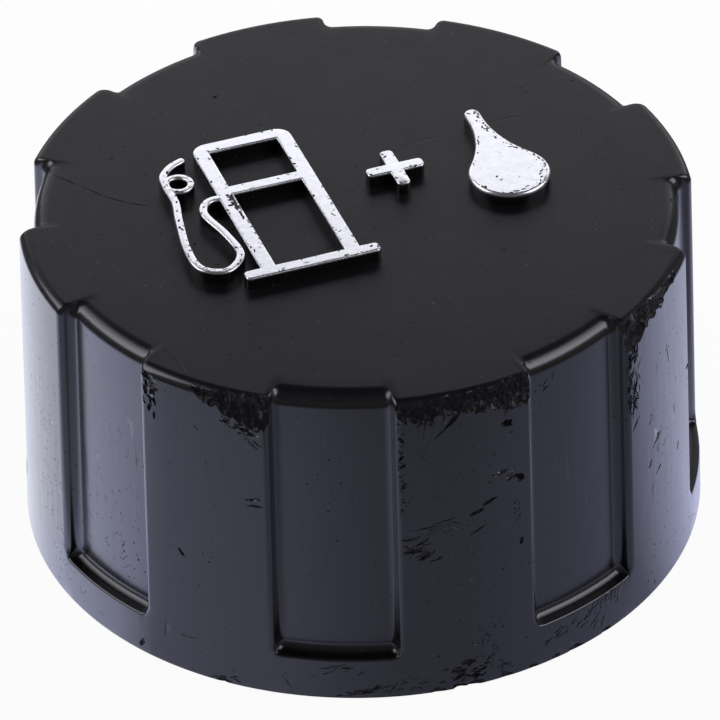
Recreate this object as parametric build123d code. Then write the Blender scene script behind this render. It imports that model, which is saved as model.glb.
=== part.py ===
from build123d import *
from math import acos, asin, atan, cos, degrees, radians, sin, tan
import os

# A screw cap for a fuel tank's filler neck. It stands on its rim: the origin is the centre of the
# rim's plane, +Z points up out of the top face, and +X runs through the middle of a grip lobe, along
# the raised sign. All sizes are in millimetres and all angles in degrees.

# Grip body
grip_diameter = 50.0
rim_flare = 0.5
cap_height = 26.6
lobe_count = 8
lobe_width = 9.1
lobe_corner_round = 0.8
lobe_root_round = 1.1
window_depth = 1.15
ledge_height = 3.7
ledge_cove = 1.0
top_edge_round = 0.8
rim_round = 0.4
top_thickness = 2.6

# Female thread and mouth. The thread's root lies under the panels by the wall's thickness.
panel_wall = 2.45
thread_depth = 1.2
thread_pitch = 4.0
thread_turns = 2.25
thread_crest = 2.0
thread_flank = 15.0
thread_start = 2.9
mouth_step = 0.9
mouth_depth = 1.4

# Plug wall under the top, which carries the gasket outside and the vent parts inside
socket_diameter = 26.8
plug_thickness = 1.6
plug_length = 8.0
shoulder_width = 0.8
socket_clearance = 0.15
snap_height = 0.8
snap_depth = 0.35
snap_clearance = 0.1
snap_rise = 1.1

# Gasket
gasket_thickness = 2.0
gasket_clearance = 0.1
gasket_round = 0.3

# Vent: deck, valve, spring, foam and baffle
foam_height = 4.8
foam_bore = 13.0
foam_clearance = 0.2
deck_thickness = 1.4
air_hole_count = 6
air_hole_diameter = 1.4
air_hole_circle = 6.0
guide_diameter = 3.0
guide_height = 1.4
stem_diameter = 2.0
stem_clearance = 0.06
stem_tip = 0.5
head_diameter = 9.6
head_thickness = 1.0
head_round = 0.25
seal_diameter = 9.0
seal_thickness = 0.8
seal_clearance = 0.1
valve_travel = 1.2
travel_clearance = 0.3
spring_height = 3.0
spring_wire = 0.35
spring_diameter = 3.9
spring_turns = 4
clip_diameter = 4.8
clip_thickness = 0.5
clip_clearance = 0.05
clip_slot = 1.3
groove_depth = 0.25
baffle_wall = 1.2
baffle_floor = 1.0
baffle_hole_count = 8
baffle_hole_diameter = 2.4
baffle_hole_circle = 18.0
air_groove_width = 1.5
air_groove_depth = 0.6

# Raised sign on the top face, drawn about the cap's centre and turned as a whole
sign_height = 0.95
sign_turn = 1.5
foil_thickness = 0.06
sign_corner_round = 0.35
pump_middle = -5.87
pump_top = 9.8
pump_width = 7.7
pump_stroke = 1.2
pump_corner_round = 1.3
crossbar_middle = 3.5
crossbar_stroke = 1.05
base_bar_length = 10.4
base_bar_bottom = -7.55
hose_stroke = 0.62
nozzle_middle = (-11.91, 5.72)
nozzle_ring_diameter = 2.4
nozzle_ring_bore = 1.36
plus_middle = (3.72, 1.87)
plus_span = 4.45
plus_stroke = 1.05
drop_middle = (11.44, -1.7)
drop_diameter = 6.1
drop_tip = 6.9
drop_tip_width = 1.24
drop_flank_radius = 9.0

# The hose's middle line: first as steps from the pump's side, then as steps from the nozzle ring's edge
hose_from_pump = [(-0.9, 2.8), (-1.6, 1.4), (-0.95, -1.5), (-0.75, -4.3), (-2.3, -5.82)]
hose_to_ring = [(-0.9, -4.9), (-1.12, -2.4), (-0.55, 1.2), (-0.05, 3.6)]
hose_start = 2.95
spout_from_ring = [(-0.05, 0.0), (0.15, 1.3), (1.0, 2.25), (2.0, 2.75)]

# Flat chips knocked off the top edges of three neighbouring lobes: the lobe's angle, how far the
# chip's middle lies along the lobe's face, the chip's length, its slope and its depth at 45 degrees
chips = [
    (-135.0, 2.7, 4.6, 14.0, 1.05),
    (-135.0, -4.3, 1.6, -20.0, 1.0),
    (-90.0, 0.0, 9.4, 3.0, 0.75),
    (-45.0, -2.6, 5.0, -9.0, 1.1),
]
chip_reach = 6.0
chip_tilt = 45.0

# How far joined shapes run into each other, and cutting shapes past what they cut
overlap = 0.2
cove_overlap = 0.05
cut_reach = 1.0

# Sizes that follow from those above
grip_radius = grip_diameter / 2
rim_radius = grip_radius + rim_flare
draft = rim_flare / cap_height
ledge_radius = rim_radius - draft * ledge_height
panel_foot_radius = ledge_radius - window_depth
thread_radius = grip_radius - window_depth - panel_wall
crest_radius = thread_radius - thread_depth
mouth_radius = thread_radius + mouth_step
underside = cap_height - top_thickness
plug_end = underside - plug_length
socket_radius = socket_diameter / 2
plug_radius = socket_radius + plug_thickness
shoulder_radius = socket_radius - shoulder_width
insert_radius = socket_radius - socket_clearance
deck_top = underside - foam_height
deck_bottom = deck_top - deck_thickness
head_top = deck_bottom - seal_thickness
head_bottom = head_top - head_thickness
snap_middle = plug_end + snap_rise
stem_radius = stem_diameter / 2
guide_top = deck_top + guide_height
clip_bottom = deck_top + spring_height
clip_top = clip_bottom + clip_thickness
baffle_floor_top = head_bottom - valve_travel - travel_clearance
baffle_bottom = baffle_floor_top - baffle_floor
sign_base = cap_height
sign_top = sign_base + sign_height
through = 4 * cap_height


def polar(radius, angle):
    return Vector(radius * cos(radians(angle)), radius * sin(radians(angle)))


def turned(points):
    """Turn a closed outline of (radius, height) points about the cap's axis."""
    return revolve(Plane.XZ * make_face(Polyline(*points, close=True)), Axis.Z)


def tube(outer_radius, inner_radius, bottom, top):
    points = [(inner_radius, bottom), (outer_radius, bottom), (outer_radius, top), (inner_radius, top)]
    return turned(points)


def around(count, radius, shape):
    """Copies of a shape, evenly spaced on a circle."""
    return [Rot(0, 0, 360 / count * i) * Pos(radius, 0, 0) * shape for i in range(count)]


def drill(diameter):
    """A cutter along the cap's axis, longer than the cap each way."""
    return Cylinder(diameter / 2, through)


def arc_about(radius, start, end):
    """An arc about the cap's axis, from one angle to another."""
    return ThreePointArc(polar(radius, start), polar(radius, (start + end) / 2), polar(radius, end))


def lobed_outline(outer_radius, panel_radius):
    """The grip's outline: arcs on the lobes and panels, joined by tangent arcs at corners and roots."""
    corner_centre = outer_radius - lobe_corner_round
    root_centre = panel_radius + lobe_root_round
    reach = lobe_corner_round + lobe_root_round
    lobe_end = degrees(asin(lobe_width / 2 / outer_radius))
    between = (corner_centre**2 + root_centre**2 - reach**2) / (2 * corner_centre * root_centre)
    panel_start = lobe_end + degrees(acos(between))
    pitch = 360 / lobe_count
    arcs = []
    for i in range(lobe_count):
        middle = i * pitch
        for side in (1, -1):
            corner = polar(corner_centre, middle + side * lobe_end)
            root = polar(root_centre, middle + side * panel_start)
            lobe_point = polar(outer_radius, middle + side * lobe_end)
            panel_point = polar(panel_radius, middle + side * panel_start)
            across = (root - corner).normalized()
            meeting = corner + across * lobe_corner_round
            corner_out = ((lobe_point - corner).normalized() + across).normalized()
            root_out = ((panel_point - root).normalized() - across).normalized()
            arcs.append(ThreePointArc(lobe_point, corner + corner_out * lobe_corner_round, meeting))
            arcs.append(ThreePointArc(meeting, root + root_out * lobe_root_round, panel_point))
        arcs.append(arc_about(outer_radius, middle - lobe_end, middle + lobe_end))
        arcs.append(arc_about(panel_radius, middle + panel_start, middle + pitch - panel_start))
    return make_face(Wire(arcs))


def grip_body():
    """The lobed wall on its base ring, solid, with the cove that runs round the foot of the panels."""
    outline = lobed_outline(ledge_radius, panel_foot_radius)
    wall = extrude(outline, cap_height - ledge_height, taper=degrees(atan(draft)))
    wall = Pos(0, 0, ledge_height) * wall
    wall = fillet(wall.edges().group_by(Axis.Z)[-1], top_edge_round)
    ring = Cone(rim_radius, ledge_radius, ledge_height, align=(Align.CENTER, Align.CENTER, Align.MIN))
    ring = fillet(ring.edges().group_by(Axis.Z)[0], rim_round)
    # the cove's foot lies on the ledge and its head just inside the panel
    head = panel_foot_radius - cove_overlap
    foot = head + ledge_cove
    lean = ledge_cove * (1 - sin(radians(45)))
    curve = ThreePointArc(
        (foot, ledge_height),
        (head + lean, ledge_height + lean),
        (head, ledge_height + ledge_cove),
    )
    back = Polyline((head, ledge_height + ledge_cove), (head - cut_reach, ledge_height), (foot, ledge_height))
    cove = revolve(Plane.XZ * make_face([curve, back]), Axis.Z)
    return wall + ring + cove


def cavity():
    """Everything that is open inside the cap, but for the thread's ridge and the plug wall."""
    return turned([
        (0, -cut_reach),
        (mouth_radius, -cut_reach),
        (mouth_radius, mouth_depth),
        (thread_radius, mouth_depth + mouth_step),
        (thread_radius, underside),
        (0, underside),
    ])


def thread_ridge():
    """The ridge of the female thread: a swept trapezoid, trimmed to a true cylinder at its crest."""
    path = Helix(pitch=thread_pitch, height=thread_turns * thread_pitch, radius=thread_radius)
    widen = tan(radians(thread_flank))
    over_crest = thread_depth + overlap
    root_half = thread_crest / 2 + over_crest * widen
    tip_half = thread_crest / 2 - overlap * widen
    section = Polyline(
        (overlap, -root_half),
        (overlap, root_half),
        (-over_crest, tip_half),
        (-over_crest, -tip_half),
        close=True,
    )
    start = Plane(origin=(thread_radius, 0, 0), x_dir=(1, 0, 0), z_dir=(0, -1, 0))
    ridge = sweep(start * make_face(section), path, is_frenet=True)
    return Pos(0, 0, thread_start) * ridge - drill(2 * crest_radius)


def plug_wall():
    """The wall under the top: a socket with a shoulder for the deck and a groove for the baffle's bead."""
    groove_radius = socket_radius + snap_depth
    low = snap_middle - snap_height / 2
    high = snap_middle + snap_height / 2
    return turned([
        (shoulder_radius, underside + overlap),
        (plug_radius, underside + overlap),
        (plug_radius, plug_end),
        (socket_radius, plug_end),
        (socket_radius, low),
        (groove_radius, low + snap_depth),
        (groove_radius, high - snap_depth / 2),
        (socket_radius, high),
        (socket_radius, deck_top),
        (shoulder_radius, deck_top),
    ])


def air_grooves():
    """Two shallow channels over the plug wall that lead air from the thread's side to the foam."""
    length = crest_radius - foam_bore / 2
    middle = foam_bore / 2 + length / 2
    groove = Pos(0, 0, underside + air_groove_depth / 2) * Box(length, air_groove_width, air_groove_depth)
    return around(2, middle, groove)


def chip_cuts():
    cuts = []
    for angle, along, length, slope, depth in chips:
        slab = Pos(chip_reach / 2 - depth, 0, 0) * Box(chip_reach, length, 2 * chip_reach)
        place = Rot(0, 0, angle) * Pos(grip_radius, along, cap_height)
        cuts.append(place * Rot(0, -chip_tilt, 0) * Rot(slope, 0, 0) * slab)
    return cuts


def rounded_bar(length, width):
    largest_round = 0.45 * min(length, width)
    return RectangleRounded(length, width, min(sign_corner_round, largest_round))


def pump_outline():
    """A fuel pump: a tall box with two windows on a base bar, and its hose."""
    bar_middle = base_bar_bottom + crossbar_stroke / 2
    box_height = pump_top - bar_middle
    box = Pos(pump_middle, bar_middle + box_height / 2) * Rectangle(pump_width, box_height)
    box = fillet(box.vertices().group_by(Axis.Y)[-1], pump_corner_round)
    window_width = pump_width - 2 * pump_stroke
    upper_bottom = crossbar_middle + crossbar_stroke / 2
    upper_height = pump_top - pump_stroke - upper_bottom
    lower_top = crossbar_middle - crossbar_stroke / 2
    lower_height = lower_top - (base_bar_bottom + crossbar_stroke)
    box -= Pos(pump_middle, upper_bottom + upper_height / 2) * Rectangle(window_width, upper_height)
    box -= Pos(pump_middle, lower_top - lower_height / 2) * Rectangle(window_width, lower_height)
    base = Pos(pump_middle, bar_middle) * rounded_bar(base_bar_length, crossbar_stroke)
    return box + base + hose_outline()


def hose_outline():
    """The hose leaves the pump's side, hangs in a loop and ends in the nozzle's spout."""
    pump_side = pump_middle - pump_width / 2
    ring_x, ring_y = nozzle_middle
    ring_edge = ring_x - nozzle_ring_diameter / 2 + hose_stroke / 2
    points = [(pump_side + pump_stroke / 2, hose_start)]
    points += [(pump_side + x, y) for x, y in hose_from_pump]
    points += [(ring_edge + x, y) for x, y in hose_to_ring]
    points += [(ring_edge + x, ring_y + y) for x, y in spout_from_ring]
    line = Spline(*points)
    hose = trace(line, hose_stroke)
    tip = Pos(*points[-1]) * Circle(hose_stroke / 2)
    ring = Circle(nozzle_ring_diameter / 2) - Circle(nozzle_ring_bore / 2)
    return hose + tip + Pos(ring_x, ring_y) * ring


def plus_outline():
    bar = rounded_bar(plus_span, plus_stroke)
    return Pos(*plus_middle) * (bar + Rot(0, 0, 90) * bar)


def drop_outline():
    """A round drop whose hollow flanks run up tangent to a narrow neck with a round tip."""
    radius = drop_diameter / 2
    neck = drop_tip_width / 2
    flank_x = neck + drop_flank_radius
    flank_y = ((radius + drop_flank_radius) ** 2 - flank_x**2) ** 0.5
    tip_y = drop_tip - drop_middle[1] - neck
    share = radius / (radius + drop_flank_radius)
    belly = (flank_x * share, flank_y * share)
    turn = atan(flank_y / flank_x) / 2
    waist = (flank_x - drop_flank_radius * cos(turn), flank_y - drop_flank_radius * sin(turn))
    arcs = [
        ThreePointArc(belly, (0, -radius), (-belly[0], belly[1])),
        ThreePointArc((-belly[0], belly[1]), (-waist[0], waist[1]), (-neck, flank_y)),
        Line((-neck, flank_y), (-neck, tip_y)),
        ThreePointArc((-neck, tip_y), (0, tip_y + neck), (neck, tip_y)),
        Line((neck, tip_y), (neck, flank_y)),
        ThreePointArc((neck, flank_y), waist, belly),
    ]
    return Pos(*drop_middle) * make_face(Wire(arcs))


def raised(outline, bottom, height):
    """A sign's outline, turned with the whole sign and thickened upwards."""
    return Pos(0, 0, bottom) * extrude(Rot(0, 0, sign_turn) * outline, height)


def cap_shell(outlines):
    body = grip_body() - cavity() + thread_ridge() + plug_wall()
    body -= air_grooves()
    body -= chip_cuts()
    for outline in outlines:
        body += raised(outline, sign_base - overlap, sign_height + overlap)
    return body


def sealing_gasket():
    inner = plug_radius + gasket_clearance
    outer = thread_radius - gasket_clearance
    ring = tube(outer, inner, underside - gasket_thickness, underside)
    return fillet(ring.edges().group_by(Axis.Z)[0], gasket_round)


def vent_deck():
    deck = tube(insert_radius, 0, deck_bottom, deck_top)
    deck += tube(guide_diameter / 2, 0, deck_top, guide_top)
    deck -= drill(stem_diameter + 2 * stem_clearance)
    return deck - around(air_hole_count, air_hole_circle / 2, drill(air_hole_diameter))


def valve_poppet():
    head = fillet(tube(head_diameter / 2, 0, head_bottom, head_top).edges().group_by(Axis.Z)[0], head_round)
    stem = tube(stem_radius, 0, head_bottom + head_thickness / 2, clip_top + stem_tip)
    groove = tube(2 * stem_radius, stem_radius - groove_depth, clip_bottom, clip_top)
    return head + stem - groove


def valve_seal():
    return tube(seal_diameter / 2, stem_radius + seal_clearance, head_top, deck_bottom)


def spring_retainer():
    bore = stem_radius - groove_depth + clip_clearance
    ring = tube(clip_diameter / 2, bore, clip_bottom, clip_top)
    slot = Box(clip_diameter, clip_slot, 2 * clip_thickness)
    return ring - Pos(clip_diameter / 2, 0, (clip_bottom + clip_top) / 2) * slot


def valve_spring():
    wire = spring_wire / 2
    rise = spring_height - spring_wire
    path = Helix(pitch=rise / spring_turns, height=rise, radius=spring_diameter / 2)
    section = Plane(origin=path @ 0, z_dir=path % 0) * Circle(wire)
    return Pos(0, 0, deck_top + wire) * sweep(section, path, is_frenet=True)


def breather_foam():
    return tube(shoulder_radius - foam_clearance, foam_bore / 2, deck_top, underside)


def splash_baffle():
    """A cup with a flange at the plug wall's end, a wall up to the deck and a bead in the wall's groove."""
    wall_radius = insert_radius - baffle_wall
    bead_radius = insert_radius + snap_depth
    low = snap_middle - snap_height / 2 + snap_clearance
    high = snap_middle + snap_height / 2 - snap_clearance
    flange_bottom = plug_end - baffle_floor
    cup = turned([
        (0, baffle_bottom),
        (insert_radius, baffle_bottom),
        (insert_radius, flange_bottom),
        (plug_radius, flange_bottom),
        (plug_radius, plug_end),
        (insert_radius, plug_end),
        (insert_radius, low),
        (bead_radius, low + snap_depth),
        (bead_radius, high - snap_depth / 2),
        (insert_radius, high),
        (insert_radius, deck_bottom),
        (wall_radius, deck_bottom),
        (wall_radius, baffle_floor_top),
        (0, baffle_floor_top),
    ])
    return cup - around(baffle_hole_count, baffle_hole_circle / 2, drill(baffle_hole_diameter))


signs = {"fuel_pump": pump_outline(), "plus": plus_outline(), "oil_drop": drop_outline()}
nodes = {
    "cap_shell": cap_shell(signs.values()),
    "sealing_gasket": sealing_gasket(),
    "vent_deck": vent_deck(),
    "valve_poppet": valve_poppet(),
    "valve_seal": valve_seal(),
    "valve_spring": valve_spring(),
    "spring_retainer": spring_retainer(),
    "breather_foam": breather_foam(),
    "splash_baffle": splash_baffle(),
}
for name, outline in signs.items():
    nodes[name + "_foil"] = raised(outline, sign_top, foil_thickness)

os.makedirs("parts", exist_ok=True)
for name, shape in nodes.items():
    export_step(shape, "parts/" + name + ".step")
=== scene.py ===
import math
import random

import bmesh
import bpy
from mathutils import Matrix, Vector, noise


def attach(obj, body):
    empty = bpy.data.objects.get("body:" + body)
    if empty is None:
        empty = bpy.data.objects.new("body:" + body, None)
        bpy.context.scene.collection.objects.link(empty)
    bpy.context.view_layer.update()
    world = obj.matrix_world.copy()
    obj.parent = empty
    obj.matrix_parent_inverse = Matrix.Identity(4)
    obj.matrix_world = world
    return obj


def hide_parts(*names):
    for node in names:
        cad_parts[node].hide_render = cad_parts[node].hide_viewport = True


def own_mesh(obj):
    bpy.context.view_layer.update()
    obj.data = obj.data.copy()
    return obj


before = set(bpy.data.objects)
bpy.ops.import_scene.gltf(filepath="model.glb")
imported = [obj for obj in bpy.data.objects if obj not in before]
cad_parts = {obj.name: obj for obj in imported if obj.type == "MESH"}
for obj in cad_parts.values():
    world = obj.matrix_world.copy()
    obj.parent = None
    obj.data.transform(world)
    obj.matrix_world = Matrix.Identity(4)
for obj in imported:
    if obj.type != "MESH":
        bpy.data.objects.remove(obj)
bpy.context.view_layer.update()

# A worn screw cap for a fuel tank. Shapes are worked out in millimetres, about the cap's own axis with +Z
# up, and each finished piece is scaled to metres. Angles are in degrees, counted from +X.
MM = 0.001

# Grip body
cap_height = 26.6
grip_radius = 25.0
rim_radius = 25.49
draft = (rim_radius - grip_radius) / cap_height
lobe_count = 8
lobe_width = 9.1
lobe_corner_round = 0.5
lobe_root_round = 0.7
lobe_side_setback = 0.2
window_depth = 1.15
ledge_height = 3.7
ledge_cove = 0.7
ledge_edge_round = 0.22
window_corner_lift = 0.6
lobe_edge_round = 0.8
window_lip_round = 1.25
rim_round = 0.4

# Inside of the cap
underside = 24.0
thread_radius = 21.4
thread_depth = 1.2
thread_pitch = 4.0
thread_turns = 2.25
thread_crest = 2.0
thread_root = 2.75
thread_start = 2.9
mouth_radius = 22.3
mouth_depth = 1.4
plug_radius = 15.0
plug_end = 16.0
socket_radius = 13.4
shoulder_radius = 12.6
deck_top = 19.2
snap_low = 16.7
snap_high = 17.5
snap_depth = 0.35

# Closing spring of the vent valve
spring_height = 3.0
spring_wire = 0.35
spring_diameter = 3.9
spring_turns = 4.0
spring_end_turns = 0.75

# Raised sign and its foil
sign_top = 27.55
foil_top = 27.605
sign_turn = 1.5
foil_overhang = 0.03
foil_wrap = 0.75
pump_middle = -5.87
pump_top = 9.8
pump_width = 7.7
pump_stroke = 1.2
pump_corner_round = 1.15
crossbar_middle = 3.5
crossbar_stroke = 1.05
base_bar_length = 10.4
base_bar_bottom = -7.55
bar_end_round = 0.35
hose_stroke = 0.62
nozzle_middle = (-11.91, 5.72)
nozzle_ring_radius = 1.2
nozzle_ring_bore = 0.68
plus_middle = (3.72, 1.87)
plus_span = 4.45
plus_stroke = 1.05
drop_middle = (11.44, -1.7)
drop_radius = 3.05
drop_tip = 6.9
drop_neck = 0.62
drop_flank_radius = 9.0
pump_side = pump_middle - pump_width / 2
ring_edge = nozzle_middle[0] - nozzle_ring_radius + hose_stroke / 2
hose_route = [
    (pump_side + pump_stroke / 2, 2.95),
    (pump_side - 0.9, 2.8),
    (pump_side - 1.6, 1.4),
    (pump_side - 0.95, -1.5),
    (pump_side - 0.75, -4.3),
    (pump_side - 2.3, -5.82),
    (ring_edge - 0.9, -4.9),
    (ring_edge - 1.12, -2.4),
    (ring_edge - 0.55, 1.2),
    (ring_edge - 0.05, 3.6),
    (ring_edge - 0.05, nozzle_middle[1]),
    (ring_edge + 0.15, nozzle_middle[1] + 1.3),
    (ring_edge + 1.0, nozzle_middle[1] + 2.25),
    (ring_edge + 2.0, nozzle_middle[1] + 2.75),
]

# Broken edges. Each point is the angle, the break's lower height on the wall and its upper radius.
broken_edges = [
    [(-136.6, 26.1, 24.8), (-134.8, 25.4, 24.8), (-131.8, 25.25, 24.75), (-131.0, 24.6, 24.6),
     (-126.7, 24.0, 24.45), (-121.5, 23.9, 24.3)],
    [(-102.5, 25.4, 24.75), (-98.8, 24.97, 24.7), (-95.8, 24.85, 24.65), (-92.9, 25.04, 24.7),
     (-87.0, 24.83, 24.6), (-84.0, 24.52, 24.55), (-77.5, 24.1, 24.45)],
    [(-39.5, 26.0, 24.85), (-44.4, 25.85, 24.8), (-47.2, 25.2, 24.75), (-51.4, 25.1, 24.6),
     (-52.2, 24.3, 24.55), (-54.5, 23.7, 24.5), (-59.0, 24.4, 24.4)],
]
break_depth = 0.16
# Marks deeper than this show torn plastic
torn_depth = 0.115

# Gouges and pits in the wall: height, angle, length, tilt from level, width and depth
wall_marks = [
    (17.6, -125.7, 1.3, 14, 0.3, 0.10), (17.0, -125.5, 1.2, 5, 0.22, 0.08), (11.06, -139.3, 0.8, -48, 0.26, 0.16),
    (3.5, -142.9, 1.7, 85, 0.18, 0.06), (3.45, -138.4, 1.5, 2, 0.16, 0.05), (1.05, -148.0, 0.9, 70, 0.4, 0.12),
    (23.1, -82.8, 0.9, -30, 0.7, 0.26), (24.5, -92.3, 1.5, 48, 0.4, 0.12), (23.6, -94.3, 1.2, 44, 0.3, 0.1),
    (17.97, -80.8, 1.1, -35, 0.6, 0.2), (18.9, -83.9, 0.9, 15, 0.4, 0.1), (18.2, -82.3, 0.9, 25, 0.35, 0.1),
    (16.6, -86.2, 1.3, 22, 0.3, 0.12), (15.9, -88.6, 1.2, 18, 0.35, 0.12), (14.3, -88.3, 1.5, 28, 0.2, 0.09),
    (14.5, -99.8, 1.5, 8, 0.35, 0.1), (14.1, -97.9, 1.4, 28, 0.35, 0.1), (13.3, -99.3, 1.5, 5, 0.4, 0.12),
    (12.8, -97.2, 1.6, 30, 0.4, 0.12), (12.4, -95.6, 1.1, 15, 0.3, 0.1), (15.3, -97.5, 2.4, 6, 0.14, 0.05),
    (15.7, -94.0, 2.2, 10, 0.12, 0.05), (12.2, -80.6, 0.7, 80, 0.3, 0.12), (14.0, -48.5, 1.3, 40, 0.7, 0.05),
    (12.2, -50.6, 0.8, 60, 0.22, 0.08), (10.8, -40.2, 0.9, 75, 0.2, 0.08), (11.0, -48.0, 1.0, 30, 0.22, 0.06),
    (16.2, -34.4, 0.5, 0, 0.4, 0.16), (20.5, -44.0, 2.4, -80, 0.12, 0.05), (3.1, -113.2, 2.9, 14, 0.2, 0.06),
    (2.6, -108.3, 0.9, 40, 0.2, 0.06), (1.5, -121.0, 1.8, -60, 0.14, 0.05), (1.0, -107.0, 3.2, 8, 0.18, 0.06),
]
# Rough patches of small marks: height, angle, length, tilt, breadth, how many, then each mark's length,
# width and depth
wall_patches = [
    (24.4, -144.9, 3.8, 96, 1.1, 24, 0.8, 0.34, 0.14), (25.3, -143.6, 1.6, 10, 0.8, 10, 0.7, 0.3, 0.12),
    (23.7, -126.6, 2.8, -12, 0.7, 18, 0.7, 0.24, 0.12), (22.5, -125.0, 2.0, -35, 0.8, 9, 0.6, 0.16, 0.06),
    (24.1, -130.2, 1.2, -40, 0.6, 8, 0.5, 0.24, 0.1), (21.0, -101.0, 9.6, 91, 0.45, 40, 0.6, 0.3, 0.1),
    (20.5, -99.0, 8.0, 80, 1.0, 26, 1.3, 0.07, 0.03), (15.0, -95.5, 5.0, 8, 0.8, 16, 1.3, 0.09, 0.04),
    (13.4, -98.2, 2.6, 14, 1.3, 14, 1.0, 0.12, 0.06), (24.6, -82.0, 3.2, -8, 1.0, 26, 0.9, 0.12, 0.09),
    (22.9, -82.6, 1.6, 20, 0.8, 8, 0.4, 0.16, 0.08), (18.4, -82.3, 2.2, -20, 0.9, 14, 0.6, 0.2, 0.08),
    (14.9, -81.2, 4.6, 92, 0.5, 16, 0.5, 0.14, 0.06), (5.0, -87.6, 2.0, 60, 1.1, 22, 0.5, 0.16, 0.05),
    (2.6, -86.9, 2.8, 80, 1.2, 24, 0.6, 0.18, 0.06), (1.5, -91.0, 3.0, 8, 2.2, 14, 1.0, 0.5, 0.1), (1.6, -90.8, 3.0, 8, 2.4, 24, 0.5, 0.2, 0.1),
    (1.1, -84.6, 1.9, -20, 0.9, 14, 0.6, 0.22, 0.08), (9.6, -94.0, 5.0, 5, 1.4, 16, 0.5, 0.1, 0.03),
    (23.2, -55.8, 2.6, 70, 1.4, 26, 0.7, 0.3, 0.16), (20.0, -55.4, 4.8, 88, 1.6, 56, 1.2, 0.16, 0.12),
    (13.6, -47.4, 2.6, 50, 2.2, 34, 0.35, 0.14, 0.04), (16.3, -50.2, 1.4, 20, 1.0, 10, 0.4, 0.14, 0.05),
    (3.8, -62.4, 4.6, 62, 2.0, 46, 1.3, 0.14, 0.07), (2.8, -67.0, 3.0, 40, 0.8, 18, 0.7, 0.12, 0.06),
    (2.4, -74.0, 3.6, 20, 0.6, 18, 0.7, 0.14, 0.06), (3.0, -110.8, 3.4, 14, 0.5, 12, 0.8, 0.12, 0.05),
    (0.9, -107.0, 5.0, 5, 0.6, 20, 0.9, 0.14, 0.06), (1.2, -100.5, 3.2, 5, 1.4, 18, 0.5, 0.16, 0.05),
    (0.5, -132.0, 2.2, 0, 0.6, 12, 0.6, 0.2, 0.08), (23.2, -150.5, 3.0, 80, 2.2, 26, 0.25, 0.1, 0.04),
    (12.0, -174.0, 17.0, 90, 6.0, 120, 0.22, 0.12, 0.05), (5.0, -168.0, 5.0, 60, 4.0, 46, 0.4, 0.1, 0.05),
    (14.0, -45.0, 18.0, 90, 7.0, 70, 0.16, 0.1, 0.04), (13.0, -90.0, 20.0, 90, 7.0, 70, 0.18, 0.09, 0.04),
    (12.0, -135.0, 20.0, 90, 7.0, 46, 0.16, 0.09, 0.04),
]
rim_chips = [(-132.0, 1.4, 0.3), (-91.6, 1.9, 0.5), (-89.6, 1.6, 0.4), (-96.0, 1.1, 0.3), (-84.0, 1.2, 0.3),
             (-79.0, 1.0, 0.25), (-70.5, 1.5, 0.3), (-74.5, 0.8, 0.2), (-63.5, 1.2, 0.3)]
panel_patches = [
    (20.4, -108.2, 1.6, 60, 0.7, 7, 0.4, 0.16, 0.05), (17.0, -117.0, 9.0, 80, 5.0, 18, 0.15, 0.08, 0.03),
    (6.2, -113.0, 7.0, 0, 1.6, 18, 0.15, 0.08, 0.03), (24.3, -73.6, 1.4, 80, 1.2, 8, 0.6, 0.16, 0.07),
    (14.0, -156.0, 18.0, 88, 5.5, 110, 0.24, 0.11, 0.05), (7.0, -153.5, 4.0, 60, 3.0, 40, 0.3, 0.12, 0.05),
    (14.0, -67.0, 18.0, 90, 5.0, 40, 0.2, 0.09, 0.04), (24.4, -112.0, 8.0, 2, 0.6, 20, 0.25, 0.12, 0.05),
]
# Pits and scores in the flat top: x, y, length, turn, width and depth
top_marks = [(-5.8, 16.5, 0.6, 20, 0.35, 0.12)]
crack = [(-20.0, 10.8), (-18.6, 8.9), (-17.3, 7.0), (-15.9, 5.6), (-14.7, 4.8)]

# Places where foil is lost: x, y, length, turn, width
pump_losses = [
    (-8.9, 1.75, 1.9, 92, 0.75), (-8.72, 0.3, 1.7, 88, 0.42), (-13.3, 4.95, 0.5, 10, 0.09),
    (-12.85, 4.8, 0.6, -20, 0.09), (-11.0, 2.62, 0.5, 60, 0.1), (-12.95, 6.3, 1.5, 74, 0.1),
    (-13.17, 2.06, 0.4, 60, 0.14), (-13.42, 0.85, 0.42, 70, 0.24), (-13.6, 0.0, 0.36, 50, 0.22),
    (-14.0, -3.5, 0.5, 60, 0.22), (-13.75, -4.9, 0.7, -60, 0.16), (-13.1, -5.7, 0.9, -25, 0.18),
    (-12.0, -6.05, 0.7, 4, 0.13), (-10.4, -3.75, 0.5, -60, 0.14), (-3.4, 9.55, 0.4, 20, 0.24),
    (-4.9, 3.45, 0.34, 10, 0.2), (-2.42, -1.9, 0.9, 55, 0.16), (-2.5, -2.3, 0.6, -50, 0.14),
    (-1.1, -6.95, 0.34, 30, 0.26), (-8.95, 3.6, 0.5, 10, 0.12), (-9.3, -4.6, 0.7, 80, 0.14),
    (-2.7, -4.4, 0.5, 40, 0.12), (-6.2, -7.3, 0.5, 5, 0.12), (-8.0, -7.4, 0.4, 10, 0.12),
]
plus_losses = [(3.37, 3.4, 0.5, 40, 0.2), (2.36, 2.1, 0.26, 0, 0.2), (3.9, 1.25, 0.5, 8, 0.06)]
drop_losses = [
    (10.36, -1.8, 0.34, 40, 0.2), (10.55, -2.3, 0.36, 30, 0.2), (10.45, 3.1, 0.34, 20, 0.24),
    (12.05, 5.4, 2.0, 98, 0.34), (11.95, 6.45, 0.7, 150, 0.2), (12.2, 3.9, 1.4, 110, 0.2),
    (14.3, -2.8, 1.9, 68, 0.26), (13.4, -4.0, 1.5, 35, 0.18), (11.3, -4.65, 2.2, 2, 0.14),
    (9.3, -3.9, 1.6, -35, 0.16), (14.4, -1.0, 1.2, 95, 0.14), (13.6, 0.8, 1.3, 130, 0.1),
]

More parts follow.
